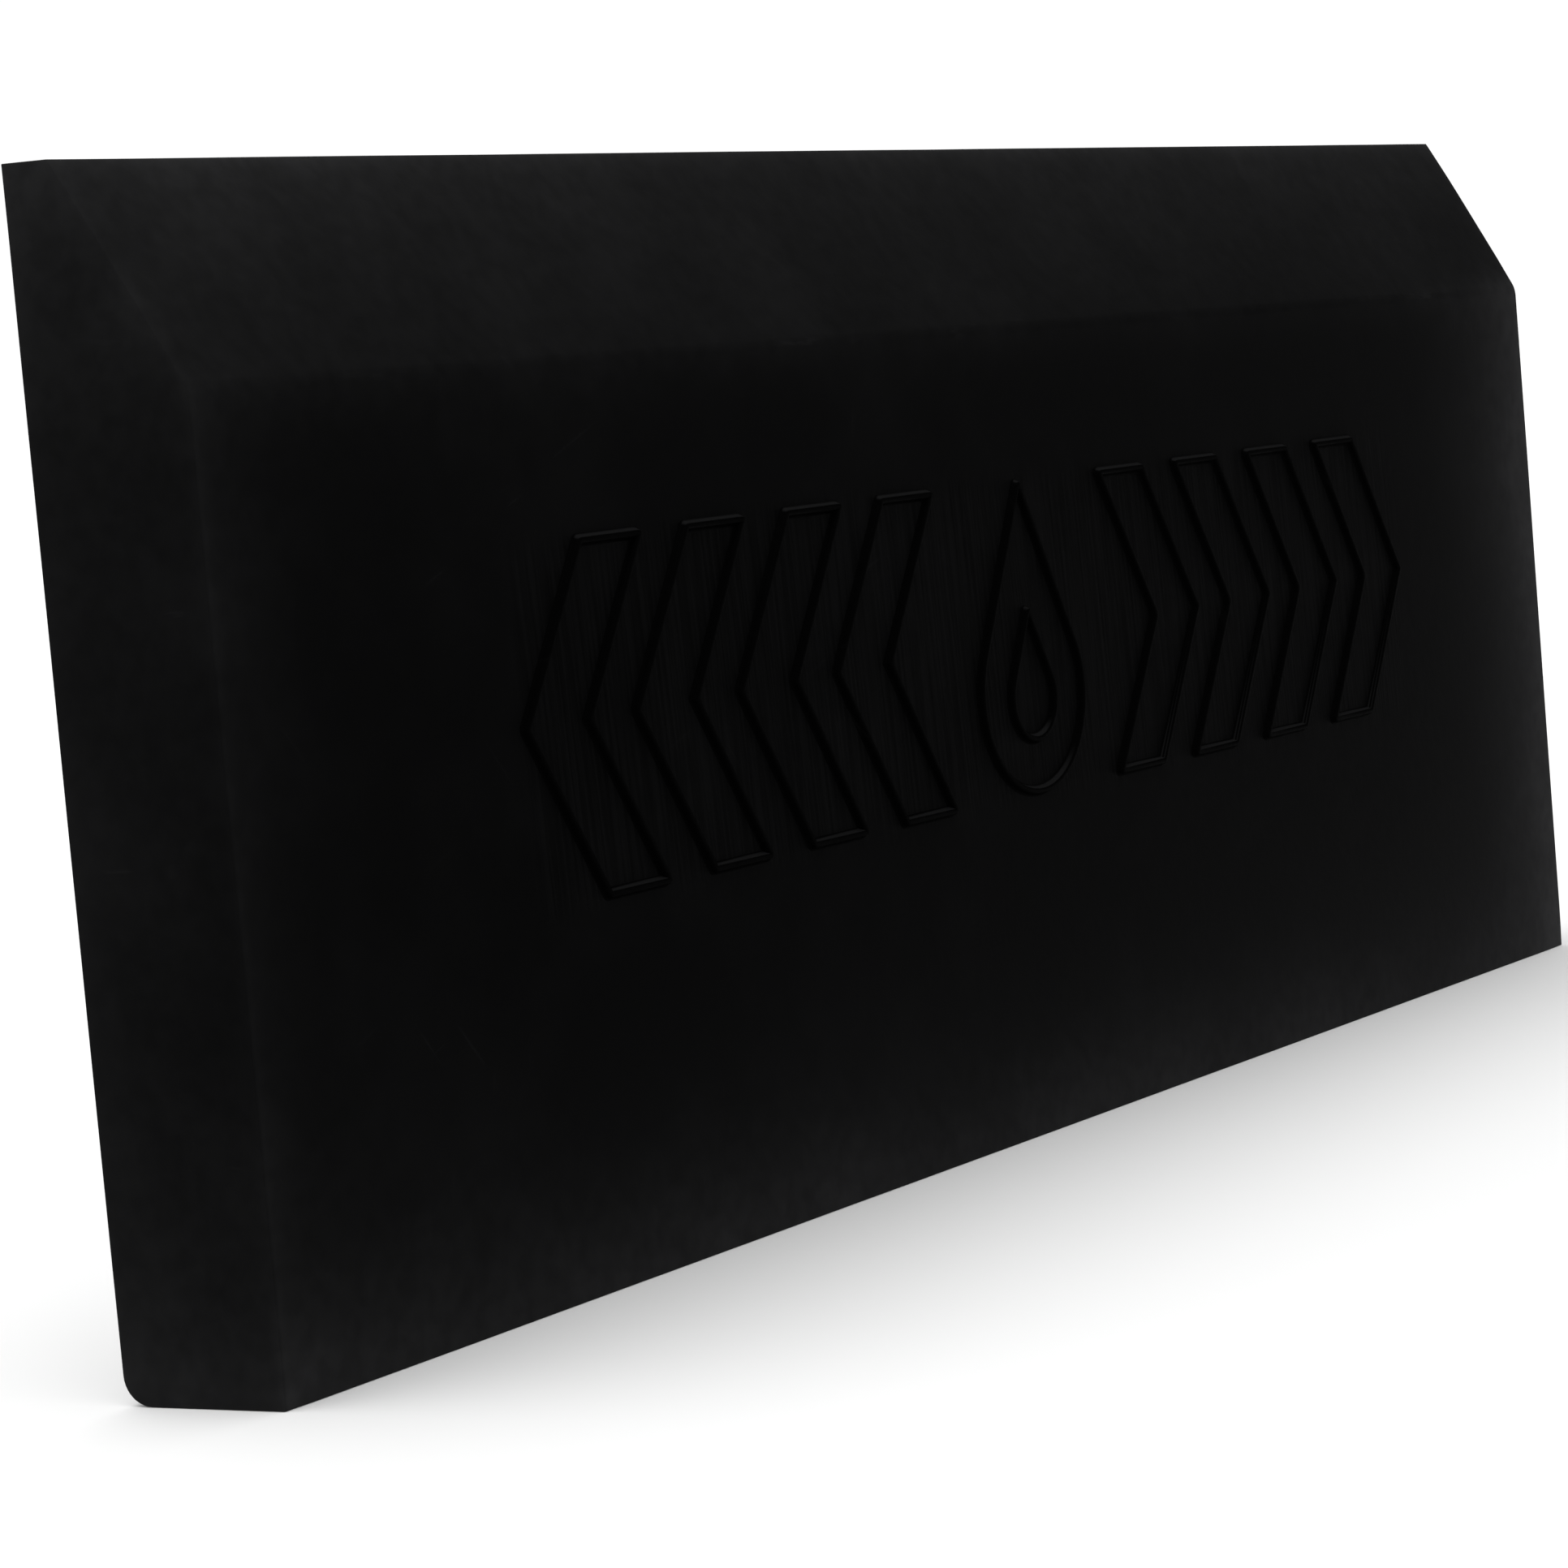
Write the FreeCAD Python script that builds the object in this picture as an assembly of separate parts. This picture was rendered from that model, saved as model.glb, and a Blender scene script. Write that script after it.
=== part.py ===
"""Bevelled hand squeegee blade of cast polyurethane, with a raised outline mark on its front face.

Frame: +X along the blade, +Y from the marked front face to the back face, +Z from the thick
edge that the blade stands on up to its thin nose. The origin is the bottom centre of the whole
blade, raised mark included. All lengths are millimetres.
"""

import FreeCAD, Part
import math
import os

INCH = 25.4

# Block
LENGTH = 5 * INCH
HEIGHT = 2 * INCH
THICKNESS = INCH * 5 / 16
NOSE_THICKNESS = 2.3
BEVEL_HEIGHT = 9.6
END_DRAFT = 0.85            # each end leans in by this much from the back face to the front face

# Softened edges of the block
ROLL_REACH = 2.0            # the front face starts to curve back this far from its edge
ROLL_DEPTH = 0.4            # and has fallen back by this much where it ends
HEEL_RADIUS = 1.4           # bottom edge of the back face
CREASE_RADIUS = 0.6         # where the bevel meets the front face
NOSE_RADIUS = 0.15          # front edge of the nose

# Raised outline mark
BEAD_WIDTH = 0.64
BEAD_HEIGHT = 0.35
BEAD_CHAMFER = 0.20
MITRED = 2                  # makeOffset2D's number for corners that stay sharp
MARK_HEIGHT = 16.4          # to the outer sides of the beads
MARK_CENTRE_Z = HEIGHT / 2
CHEVRONS_PER_SIDE = 4
CHEVRON_STROKE = 4.4        # along X, between the middles of the beads
CHEVRON_REACH = 5.2         # how far the point leads the two tails
CHEVRON_PITCH = 8.3
CHEVRON_START = 8.4         # from the middle of the blade to the first chevron's tails
DROP_RADIUS = 5.0
INNER_DROP_SCALE = 0.42
INNER_DROP_LIFT = -1.9      # from the middle of the mark to the middle of the inner drop

# Places that follow from the sizes
FRONT_Y = BEAD_HEIGHT - (THICKNESS + BEAD_HEIGHT) / 2
BACK_Y = FRONT_Y + THICKNESS
CREASE_Z = HEIGHT - BEVEL_HEIGHT
NOSE_FRONT_Y = BACK_Y - NOSE_THICKNESS
OUTLINE_HALF = (MARK_HEIGHT - BEAD_WIDTH) / 2

SMALL = 1e-4


def vector(x, y, z):
    """A FreeCAD vector."""
    return FreeCAD.Vector(x, y, z)


def near(a, b):
    """True if two lengths are the same to within the smallest step used."""
    return abs(a - b) < SMALL


def edges_where(shape, test):
    """The edges whose end points all pass the test."""
    return [edge for edge in shape.Edges if all(test(v.Point) for v in edge.Vertexes)]


def lines(points):
    """Straight edges from each point to the next."""
    return [Part.LineSegment(a, b).toShape() for a, b in zip(points, points[1:])]


def roll_arc_middle(reach, depth):
    """How far along and how deep the middle of a roll arc is, measured from the front face's end
    of the arc. The arc leaves the front face as its tangent."""
    radius = (reach ** 2 + depth ** 2) / (2 * depth)
    half_turn = math.asin(reach / radius) / 2
    return radius * math.sin(half_turn), radius * (1 - math.cos(half_turn))


def end_profile():
    """The blade's outline seen from its left end, as a face at the left end."""
    x = -LENGTH / 2
    along, deep = roll_arc_middle(ROLL_REACH, ROLL_DEPTH)
    bottom = vector(x, FRONT_Y + ROLL_DEPTH, 0)
    middle = vector(x, FRONT_Y + deep, ROLL_REACH - along)
    top = vector(x, FRONT_Y, ROLL_REACH)
    straight = lines([
        top,
        vector(x, FRONT_Y, CREASE_Z),
        vector(x, NOSE_FRONT_Y, HEIGHT),
        vector(x, BACK_Y, HEIGHT),
        vector(x, BACK_Y, 0),
        bottom,
    ])
    return Part.Face(Part.Wire([Part.Arc(bottom, middle, top).toShape()] + straight))


def plan_profile():
    """The blade's outline seen from above, as a face at the bottom."""
    along, deep = roll_arc_middle(ROLL_REACH, ROLL_DEPTH)
    front_half = LENGTH / 2 - END_DRAFT * (1 - ROLL_DEPTH / THICKNESS)
    arc_ends = [
        (front_half, ROLL_DEPTH),
        (front_half - ROLL_REACH + along, deep),
        (front_half - ROLL_REACH, 0),
    ]
    right = [vector(x, FRONT_Y + y, 0) for x, y in arc_ends]
    left = [vector(-x, FRONT_Y + y, 0) for x, y in reversed(arc_ends)]
    back = [left[2], vector(-LENGTH / 2, BACK_Y, 0), vector(LENGTH / 2, BACK_Y, 0), right[0]]
    edges = [Part.Arc(*right).toShape()] + lines([right[2], left[0]])
    edges += [Part.Arc(*left).toShape()] + lines(back)
    return Part.Face(Part.Wire(edges))


def blade_body():
    """The cast block: both outlines extruded and intersected, then its long edges rounded."""
    bar = end_profile().extrude(vector(LENGTH, 0, 0))
    column = plan_profile().extrude(vector(0, 0, HEIGHT))
    block = bar.common(column).removeSplitter().Solids[0]
    long_edges = [
        (HEEL_RADIUS, BACK_Y, 0),
        (CREASE_RADIUS, FRONT_Y, CREASE_Z),
        (NOSE_RADIUS, NOSE_FRONT_Y, HEIGHT),
    ]
    for radius, y, z in long_edges:
        found = edges_where(block, lambda p, y=y, z=z: near(p.y, y) and near(p.z, z))
        block = block.makeFillet(radius, found)
    return block


def bead(outline):
    """A bead with chamfered edges that follows a closed outline drawn on the front face."""
    outer = Part.Face(outline.makeOffset2D(BEAD_WIDTH / 2, MITRED))
    inner = Part.Face(outline.makeOffset2D(-BEAD_WIDTH / 2, MITRED))
    ring = outer.cut(inner).Faces[0].extrude(vector(0, -BEAD_HEIGHT, 0))
    crest = edges_where(ring, lambda p: near(p.y, FRONT_Y - BEAD_HEIGHT))
    return ring.makeChamfer(BEAD_CHAMFER, crest)


def chevron_outline(side, index):
    """One chevron, which points away from the middle. side is -1 for the left, 1 for the right."""
    start = CHEVRON_START + index * CHEVRON_PITCH
    corners = [
        (start, OUTLINE_HALF),
        (start + CHEVRON_STROKE, OUTLINE_HALF),
        (start + CHEVRON_STROKE + CHEVRON_REACH, 0),
        (start + CHEVRON_STROKE, -OUTLINE_HALF),
        (start, -OUTLINE_HALF),
        (start + CHEVRON_REACH, 0),
    ]
    points = [vector(side * x, FRONT_Y, MARK_CENTRE_Z + z) for x, z in corners]
    return Part.Wire(lines(points + points[:1]))


def drop_outline(scale, lift):
    """A drop: a circle whose two tangents meet in a point above it."""
    radius = DROP_RADIUS * scale
    half = OUTLINE_HALF * scale
    middle = MARK_CENTRE_Z + lift
    centre_z = middle - half + radius
    turn = math.acos(radius / (middle + half - centre_z))
    touch_x = radius * math.sin(turn)
    touch_z = centre_z + radius * math.cos(turn)
    right = vector(touch_x, FRONT_Y, touch_z)
    left = vector(-touch_x, FRONT_Y, touch_z)
    lowest = vector(0, FRONT_Y, centre_z - radius)
    sides = lines([left, vector(0, FRONT_Y, middle + half), right])
    return Part.Wire([Part.Arc(right, lowest, left).toShape()] + sides)


def build():
    """Every node's shape, by name."""
    nodes = {
        "blade_body": blade_body(),
        "drop_outer": bead(drop_outline(1.0, 0.0)),
        "drop_inner": bead(drop_outline(INNER_DROP_SCALE, INNER_DROP_LIFT)),
    }
    for name, side in (("left", -1), ("right", 1)):
        for index in range(CHEVRONS_PER_SIDE):
            nodes[f"chevron_{name}_{index + 1}"] = bead(chevron_outline(side, index))
    return nodes


def main():
    """Writes one STEP file per node and prints what each measures."""
    os.makedirs("parts", exist_ok=True)
    for name, shape in build().items():
        box = shape.BoundBox
        print(
            f"{name}: valid {shape.isValid()}, solids {len(shape.Solids)}, {shape.Volume:.1f} mm3,"
            f" x {box.XMin:.2f} {box.XMax:.2f}, y {box.YMin:.2f} {box.YMax:.2f},"
            f" z {box.ZMin:.2f} {box.ZMax:.2f}"
        )
        shape.exportStep(f"parts/{name}.step")


main()
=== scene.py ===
"""Cast black polyurethane squeegee blade, standing on its thick edge in a plain pale studio.

The blade is one solid block: a long bar with one long edge bevelled to a thin nose, ends that
lean in slightly towards the front, and a raised outline mark of a drop and chevrons on the
front face. All lengths in the code are metres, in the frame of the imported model: +X along the
blade, +Y from the marked front face to the back, +Z from the thick edge up to the nose.
"""

import logging
import math
from dataclasses import dataclass
from enum import Enum
from typing import Callable, Iterable

import bmesh
import bpy
from mathutils import Matrix, Vector


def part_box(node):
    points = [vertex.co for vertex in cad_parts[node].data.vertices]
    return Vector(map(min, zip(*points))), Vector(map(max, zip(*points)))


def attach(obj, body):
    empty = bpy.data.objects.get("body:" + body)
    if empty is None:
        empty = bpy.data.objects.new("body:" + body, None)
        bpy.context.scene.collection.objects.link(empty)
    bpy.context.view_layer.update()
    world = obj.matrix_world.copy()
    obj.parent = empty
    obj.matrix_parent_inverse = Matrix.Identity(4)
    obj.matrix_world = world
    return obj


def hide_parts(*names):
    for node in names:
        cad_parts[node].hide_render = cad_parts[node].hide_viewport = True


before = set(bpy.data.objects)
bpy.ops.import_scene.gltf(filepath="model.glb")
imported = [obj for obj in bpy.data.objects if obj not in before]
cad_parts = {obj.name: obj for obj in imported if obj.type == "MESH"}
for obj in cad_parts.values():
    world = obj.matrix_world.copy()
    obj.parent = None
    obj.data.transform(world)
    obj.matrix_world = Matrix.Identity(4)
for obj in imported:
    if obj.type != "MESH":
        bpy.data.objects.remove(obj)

LOG = logging.getLogger("squeegee_blade")
MM = 0.001
NEAR = 0.02 * MM
TOUCHING = 0.001 * MM
BODY = "root"
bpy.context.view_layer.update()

Triple = tuple[float, float, float]
Mesh = bpy.types.Object
Socket = bpy.types.NodeSocket


class Axis(Enum):
    """The three directions of the frame."""

    X = 0
    Y = 1
    Z = 2

    def vector(self) -> Vector:
        """The unit vector along this axis."""
        return Vector([1.0 if i == self.value else 0.0 for i in range(3)])


class Pick(Enum):
    """What an edit-mode selection is made of."""

    VERT = "VERT"
    EDGE = "EDGE"
    FACE = "FACE"


# --- Bench: the few edit-mode moves that every piece is made with ---


@dataclass
class Bench:
    """One mesh object on the bench, shaped with edit-mode operators.

    Attributes:
        piece: The object that is being shaped.
    """

    piece: Mesh

    @classmethod
    def start(cls, name: str) -> "Bench":
        """Takes the primitive that was just added, names it and opens it for editing.

        Args:
            name: The piece's name.

        Returns:
            The bench with that primitive on it, in edit mode.
        """
        piece = bpy.context.active_object
        piece.name = name
        piece.data.name = name
        bpy.ops.object.transform_apply(location=True, rotation=True, scale=True)
        bpy.ops.object.mode_set(mode="EDIT")
        return cls(piece)

    def pick(self, kind: Pick, test: Callable[[list[Vector]], bool]) -> int:
        """Selects the elements whose corner points pass a test, and nothing else.

        Args:
            kind: Whether vertices, edges or faces are picked.
            test: Gets an element's corner points and says whether it is picked.

        Returns:
            How many elements were picked.
        """
        bpy.ops.mesh.select_mode(type=kind.value)
        bpy.ops.mesh.select_all(action="DESELECT")
        data = bmesh.from_edit_mesh(self.piece.data)
        if kind is Pick.VERT:
            found = [v for v in data.verts if test([v.co])]
        else:
            rows = data.edges if kind is Pick.EDGE else data.faces
            found = [row for row in rows if test([v.co for v in row.verts])]
        for row in found:
            row.select_set(True)
        data.select_flush_mode()
        bmesh.update_edit_mesh(self.piece.data)
        return len(found)

    def cut(self, axis: Axis, places: Iterable[float]) -> None:
        """Scores the whole mesh across an axis at each place, with no change of shape.

        Args:
            axis: The axis that the cuts are square to.
            places: Where the cuts go along that axis.
        """
        for place in places:
            bpy.ops.mesh.select_all(action="SELECT")
            bpy.ops.mesh.bisect(plane_co=axis.vector() * place, plane_no=axis.vector())

    def slice_off(self, point: Vector, outward: Vector) -> None:
        """Cuts away everything on the outer side of a plane and closes the cut.

        Args:
            point: A point on the plane.
            outward: The plane's normal, which points at what is cut away.
        """
        bpy.ops.mesh.select_all(action="SELECT")
        bpy.ops.mesh.bisect(plane_co=point, plane_no=outward, use_fill=True, clear_outer=True)

    def shift(self, test: Callable[[Vector], bool], move: Vector) -> None:
        """Moves the vertices that pass a test.

        Args:
            test: Gets a vertex's place and says whether it moves.
            move: How far it moves.
        """
        if self.pick(Pick.VERT, lambda points: test(points[0])):
            bpy.ops.transform.translate(value=move)

    def pull(self, test: Callable[[list[Vector]], bool], move: Vector, reach: float) -> None:
        """Pulls the edges that pass a test, and the skin around them less and less.

        Args:
            test: Gets an edge's corner points and says whether it is pulled.
            move: How far it moves.
            reach: The distance in which the pull dies out.
        """
        self.pick(Pick.EDGE, test)
        bpy.ops.transform.translate(
            value=move,
            use_proportional_edit=True,
            use_proportional_connected=True,
            proportional_edit_falloff="SHARP",
            proportional_size=reach,
        )

    def finish(self) -> Mesh:
        """Merges doubles, turns the faces outwards and leaves edit mode.

        Returns:
            The finished object.
        """
        bpy.ops.mesh.select_mode(type="VERT")
        bpy.ops.mesh.select_all(action="SELECT")
        bpy.ops.mesh.remove_doubles(threshold=TOUCHING)
        bpy.ops.mesh.normals_make_consistent(inside=False)
        bpy.ops.object.mode_set(mode="OBJECT")
        return self.piece


def clear_selection() -> None:
    """Leaves nothing selected, so that the next operator acts on its own piece alone."""
    bpy.ops.object.select_all(action="DESELECT")


def copy_over(piece: Mesh, node: str, other: str) -> Mesh:
    """Copies a finished piece, with its own mesh, from one CAD node's place to a like node's.

    Args:
        piece: The finished piece.
        node: The CAD node that it stands for.
        other: The CAD node that the copy stands for.

    Returns:
        The copy.
    """
    twin = piece.copy()
    twin.data = piece.data.copy()
    twin.name = piece.name.replace(node, other)
    twin.data.name = twin.name
    bpy.context.scene.collection.objects.link(twin)
    twin.data.transform(Matrix.Translation(Vector(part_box(other)[0]) - Vector(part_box(node)[0])))
    return twin


def hand_over(piece: Mesh, node: str, skin: bpy.types.Material) -> None:
    """Dresses a piece and ties it to the frame.

    Args:
        piece: The finished piece.
        node: The CAD node that it stands for.
        skin: Its material.
    """
    piece.data.materials.append(skin)
    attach(piece, BODY)
    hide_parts(node)
    LOG.info("%s: %d faces, in place of %s", piece.name, len(piece.data.polygons), node)


# --- Finish: the urethane skin ---


@dataclass
class Graph:
    """Adds shader nodes to one node tree, one short call each.

    Attributes:
        tree: The node tree.
    """

    tree: bpy.types.NodeTree

    def node(self, kind: str, inputs: dict[str | int, object], **settings: object) -> bpy.types.Node:
        """Adds a node.

        Args:
            kind: The node's type name.
            inputs: A value or a socket for each named or numbered input.
            **settings: Properties of the node itself.

        Returns:
            The new node.
        """
        made = self.tree.nodes.new(kind)
        for key, value in settings.items():
            setattr(made, key, value)
        for key, value in inputs.items():
            if isinstance(value, bpy.types.NodeSocket):
                self.tree.links.new(value, made.inputs[key])
            else:
                made.inputs[key].default_value = value
        return made

    def math(self, operation: str, *values: float | Socket) -> Socket:
        """One arithmetic step, kept as the node's result."""
        return self.node("ShaderNodeMath", dict(enumerate(values)), operation=operation).outputs[0]

    def total(self, *values: float | Socket) -> Socket:
        """The sum of several values.

        Args:
            *values: Numbers or sockets.

        Returns:
            Their sum.
        """
        result = values[0]
        for value in values[1:]:
            result = self.math("ADD", result, value)
        return result

    def noise(self, where: Socket, size: float, detail: float = 3.0, roughness: float = 0.5) -> Socket:
        """Even noise whose blotches are about a given size.

        Args:
            where: The coordinates that it follows.
            size: The blotch size in metres.
            detail: How many finer layers are added.
            roughness: How strong the finer layers are.

        Returns:
            The noise's value, from 0 to 1.
        """
        inputs = {"Vector": where, "Scale": 1 / size, "Detail": detail, "Roughness": roughness}
        return self.node("ShaderNodeTexNoise", inputs).outputs["Fac"]

    def ramp(
        self, value: Socket, low: float, high: float, to_low: float = 0.0, to_high: float = 1.0
    ) -> Socket:
        """Maps a value from one range to another with soft ends."""
        inputs = {"Value": value, "From Min": low, "From Max": high, "To Min": to_low, "To Max": to_high}
        return self.node("ShaderNodeMapRange", inputs, interpolation_type="SMOOTHSTEP").outputs["Result"]


@dataclass(frozen=True)
class Streaks:
    """Noise stretched into marks that run one way.

    Attributes:
        turn: How far the marks are turned about the blade's depth, in radians.
        scale: How often the noise changes along each axis, per metre.
        detail: How many finer layers are added.
    """

    turn: float
    scale: Triple
    detail: float

    def noise(self, graph: Graph, where: Socket) -> Socket:
        """Draws the stretched noise.

        Args:
            graph: The node tree's graph.
            where: The coordinates that it follows.

        Returns:
            The noise's value, from 0 to 1.
        """
        turn = (0.0, self.turn, 0.0)
        lane = graph.node("ShaderNodeMapping", {"Vector": where, "Rotation": turn}).outputs["Vector"]
        lane = graph.node("ShaderNodeMapping", {"Vector": lane, "Scale": self.scale}).outputs["Vector"]
        return graph.noise(lane, 1.0, self.detail)


@dataclass(frozen=True)
class Patterns:
    """The patterns that the skin's colour, roughness and relief share.

    Attributes:
        mottle: Coarse noise.
        peel: Fine noise, of an orange peel's size.
        grain: Finer noise.
        rubs: The rub marks.
        wear: The worn edges.
        stripes: The cutter's stripes.
    """

    mottle: Socket
    peel: Socket
    grain: Socket
    rubs: Socket
    wear: Socket
    stripes: Socket


@dataclass(frozen=True)
class PaintedSheen:
    """Painted sheen: skin painted lighter near an edge, as if the edge caught light, thinning away from
    it.

    Attributes:
        strength: How much lighter the skin is at the edge.
        reach: The distance in which it thins to about a third.
    """

    strength: float
    reach: float

    def amount(self, graph: Graph, distance: Socket) -> Socket:
        """How much lighter the skin is at a distance from the edge."""
        faded = graph.math("EXPONENT", graph.math("DIVIDE", distance, -self.reach))
        return graph.math("MULTIPLY", faded, self.strength)


@dataclass(frozen=True)
class UrethaneFinish:
    """Satin cast polyurethane: near black, faintly mottled, with rub marks, worn edges and painted sheen
    by its edges.

    Attributes:
        name: The material's name.
        deep: Colour of the clean skin.
        blotch: How much lighter its blotches are.
        scuff: How much lighter rub marks are.
        back_rub: How many times stronger they are on the back face, which slides on the glass.
        nick: How much lighter worn edges and nicks are.
        warmth: Blue over red.
        roughness: Mean roughness.
        gloss: Specular level.
        tool_marks: How strongly the mould's cutter marks show.
        heel: Painted sheen above the thick edge.
        nose: Painted sheen below the nose.
        ends: Painted sheen of the end faces.
        bevel: Painted sheen of the bevel and the crease.
        face_foot: Painted sheen of the front and back faces above the thick edge.
        face_left: Painted sheen of both faces beside the left end.
        face_right: Painted sheen of both faces beside the right end, the strongest of all.
        face_depth: How far round their edges the faces' own painted sheen reaches.
        lip: A painted highlight along the nose's front edge.
        rim: A painted highlight line on the front and the bevel, just inside both ends.
        nose_fade: How much of the nose's painted sheen is lost on the way from the left end to the
            middle.
        top_light: Painted top light: how much lighter the skin is where it faces up, as if lit from
            above.
        sheen_share: How much of all this painted sheen the piece has.
        striping: How much lighter and darker the cutter's stripes are, around the raised mark.
        mottle_size: Size of the skin's blotches.
        peel_size: Size of its orange peel.
        grain_size: Size of its grain.
        relief: Depth of all of these together.
        crease_wear: How far wear spreads from the crease.
        nose_wear: How far it spreads from the nose's front edge.
        rub_streaks: The rub marks' three directions.
        nick_streaks: The pattern of the nicks.
        cutter_streaks: The pattern of the cutter's stripes.
    """

    name: str
    deep: float = 0.0014
    blotch: float = 0.0008
    scuff: float = 0.0014
    back_rub: float = 3.0
    nick: float = 0.0022
    warmth: float = 1.03
    roughness: float = 0.50
    gloss: float = 0.005
    tool_marks: float = 0.25
    heel: PaintedSheen = PaintedSheen(0.0062, 4.5 * MM)
    nose: PaintedSheen = PaintedSheen(0.0058, 6.0 * MM)
    ends: PaintedSheen = PaintedSheen(0.0026, 0.9 * MM)
    bevel: PaintedSheen = PaintedSheen(0.0018, 0.55 * MM)
    face_foot: PaintedSheen = PaintedSheen(0.0070, 3.0 * MM)
    face_left: PaintedSheen = PaintedSheen(0.0030, 3.3 * MM)
    face_right: PaintedSheen = PaintedSheen(0.0200, 4.7 * MM)
    face_depth: float = 0.4 * MM
    lip: PaintedSheen = PaintedSheen(0.0060, 0.45 * MM)
    rim: PaintedSheen = PaintedSheen(0.0012, 0.30 * MM)
    nose_fade: float = 0.6
    top_light: float = 0.0
    sheen_share: float = 1.0
    striping: float = 0.0006
    mottle_size: float = 9 * MM
    peel_size: float = 0.9 * MM
    grain_size: float = 0.25 * MM
    relief: float = 0.02 * MM
    crease_wear: float = 0.7 * MM
    nose_wear: float = 0.6 * MM
    rub_streaks: tuple[Streaks, ...] = (
        Streaks(0.35, (160.0, 300.0, 2600.0), 2.0),
        Streaks(-0.9, (160.0, 300.0, 3000.0), 2.0),
        Streaks(1.35, (160.0, 300.0, 2800.0), 2.0),
    )
    nick_streaks: Streaks = Streaks(0.0, (420.0, 1500.0, 1500.0), 3.0)
    cutter_streaks: Streaks = Streaks(0.05, (4200.0, 1.0, 110.0), 1.0)

    def material(self, block: "BladeBlock") -> bpy.types.Material:
        """Builds the node tree.

        Args:
            block: The block whose edges the wear follows.

        Returns:
            The material.
        """
        made = bpy.data.materials.new(self.name)
        made.use_nodes = True
        made.node_tree.nodes.clear()
        graph = Graph(made.node_tree)
        where = graph.node("ShaderNodeTexCoord", {}).outputs["Object"]

        mottle = graph.noise(where, self.mottle_size, 4.0, 0.6)
        skin = Patterns(
            mottle=mottle,
            peel=graph.noise(where, self.peel_size, 3.0, 0.5),
            grain=graph.noise(where, self.grain_size, 2.0, 0.6),
            rubs=self.rub_marks(graph, where, block, mottle),
            wear=self.edge_wear(graph, where, block, mottle),
            stripes=self.stripes(graph, where, block),
        )

        light = self.shade(graph, where, block, skin)
        blue = graph.math("MULTIPLY", light, self.warmth)
        colour = graph.node("ShaderNodeCombineColor", {"Red": light, "Green": light, "Blue": blue})
        height = self.height(graph, skin)
        bump = graph.node("ShaderNodeBump", {"Height": height, "Strength": 1.0, "Distance": self.relief})
        inputs = {
            "Base Color": colour.outputs["Color"],
            "Roughness": self.rough(graph, skin),
            "Specular IOR Level": self.gloss,
            "Normal": bump.outputs["Normal"],
        }
        shader = graph.node("ShaderNodeBsdfPrincipled", inputs)
        graph.node("ShaderNodeOutputMaterial", {"Surface": shader.outputs["BSDF"]})
        return made

    def rub_marks(self, graph: Graph, where: Socket, block: "BladeBlock", mottle: Socket) -> Socket:
        """Fine straight rub marks in three directions, in patches, and more of them on the back.

        Args:
            graph: The node tree's graph.
            where: Object coordinates.
            block: The block that is rubbed.
            mottle: The noise that breaks the marks up into patches.

        Returns:
            The marks, from 0 to 1 on the front and up to `back_rub` on the back.
        """
        marks: Socket | None = None
        for streaks in self.rub_streaks:
            line = graph.ramp(streaks.noise(graph, where), 0.68, 0.78)
            marks = line if marks is None else graph.math("MAXIMUM", marks, line)
        y = graph.node("ShaderNodeSeparateXYZ", {"Vector": where}).outputs["Y"]
        share = graph.ramp(y, block.back - self.face_depth, block.back, 1.0, self.back_rub)
        patches = graph.ramp(mottle, 0.45, 0.7)
        return graph.math("MULTIPLY", marks, graph.math("MULTIPLY", patches, share))

    def from_line(self, graph: Graph, where: Socket, y: float, z: float) -> Socket:
        """Distance from a line that runs along the blade.

        Args:
            graph: The node tree's graph.
            where: Object coordinates.
            y: The line's depth.
            z: The line's height.

        Returns:
            The distance in metres.
        """
        place = graph.node("ShaderNodeSeparateXYZ", {"Vector": where}).outputs
        across = graph.node("ShaderNodeCombineXYZ", {"Y": place["Y"], "Z": place["Z"]}).outputs["Vector"]
        inputs = {0: across, 1: Vector((0.0, y, z))}
        return graph.node("ShaderNodeVectorMath", inputs, operation="DISTANCE").outputs["Value"]

    def edge_wear(self, graph: Graph, where: Socket, block: "BladeBlock", mottle: Socket) -> Socket:
        """Wear along the crease and the nose, broken up into short nicks.

        Args:
            graph: The node tree's graph.
            where: Object coordinates.
            block: The block whose edges are worn.
            mottle: The noise that leaves stretches of the edges unworn.

        Returns:
            The wear, from 0 to 1.
        """
        nicks = graph.ramp(self.nick_streaks.noise(graph, where), 0.54, 0.68)
        nicks = graph.math("MULTIPLY", nicks, graph.ramp(mottle, 0.42, 0.6))
        from_crease = self.from_line(graph, where, *block.crease.yz)
        crease = graph.ramp(from_crease, 0.0, self.crease_wear, 1.0, 0.0)
        from_nose = self.from_line(graph, where, block.nose_front, block.top)
        nose = graph.ramp(from_nose, 0.0, self.nose_wear, 1.0, 0.0)
        return graph.math("MULTIPLY", graph.math("MAXIMUM", crease, nose), nicks)

    def near_depth(self, graph: Graph, where: Socket, depth: float) -> Socket:
        """How near a point is to one of the large faces.

        Args:
            graph: The node tree's graph.
            where: Object coordinates.
            depth: Where the face lies.

        Returns:
            1 on the face, and less and less away from it.
        """
        y = graph.node("ShaderNodeSeparateXYZ", {"Vector": where}).outputs["Y"]
        away = graph.math("ABSOLUTE", graph.math("SUBTRACT", y, depth))
        return PaintedSheen(1.0, self.face_depth).amount(graph, away)

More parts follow.
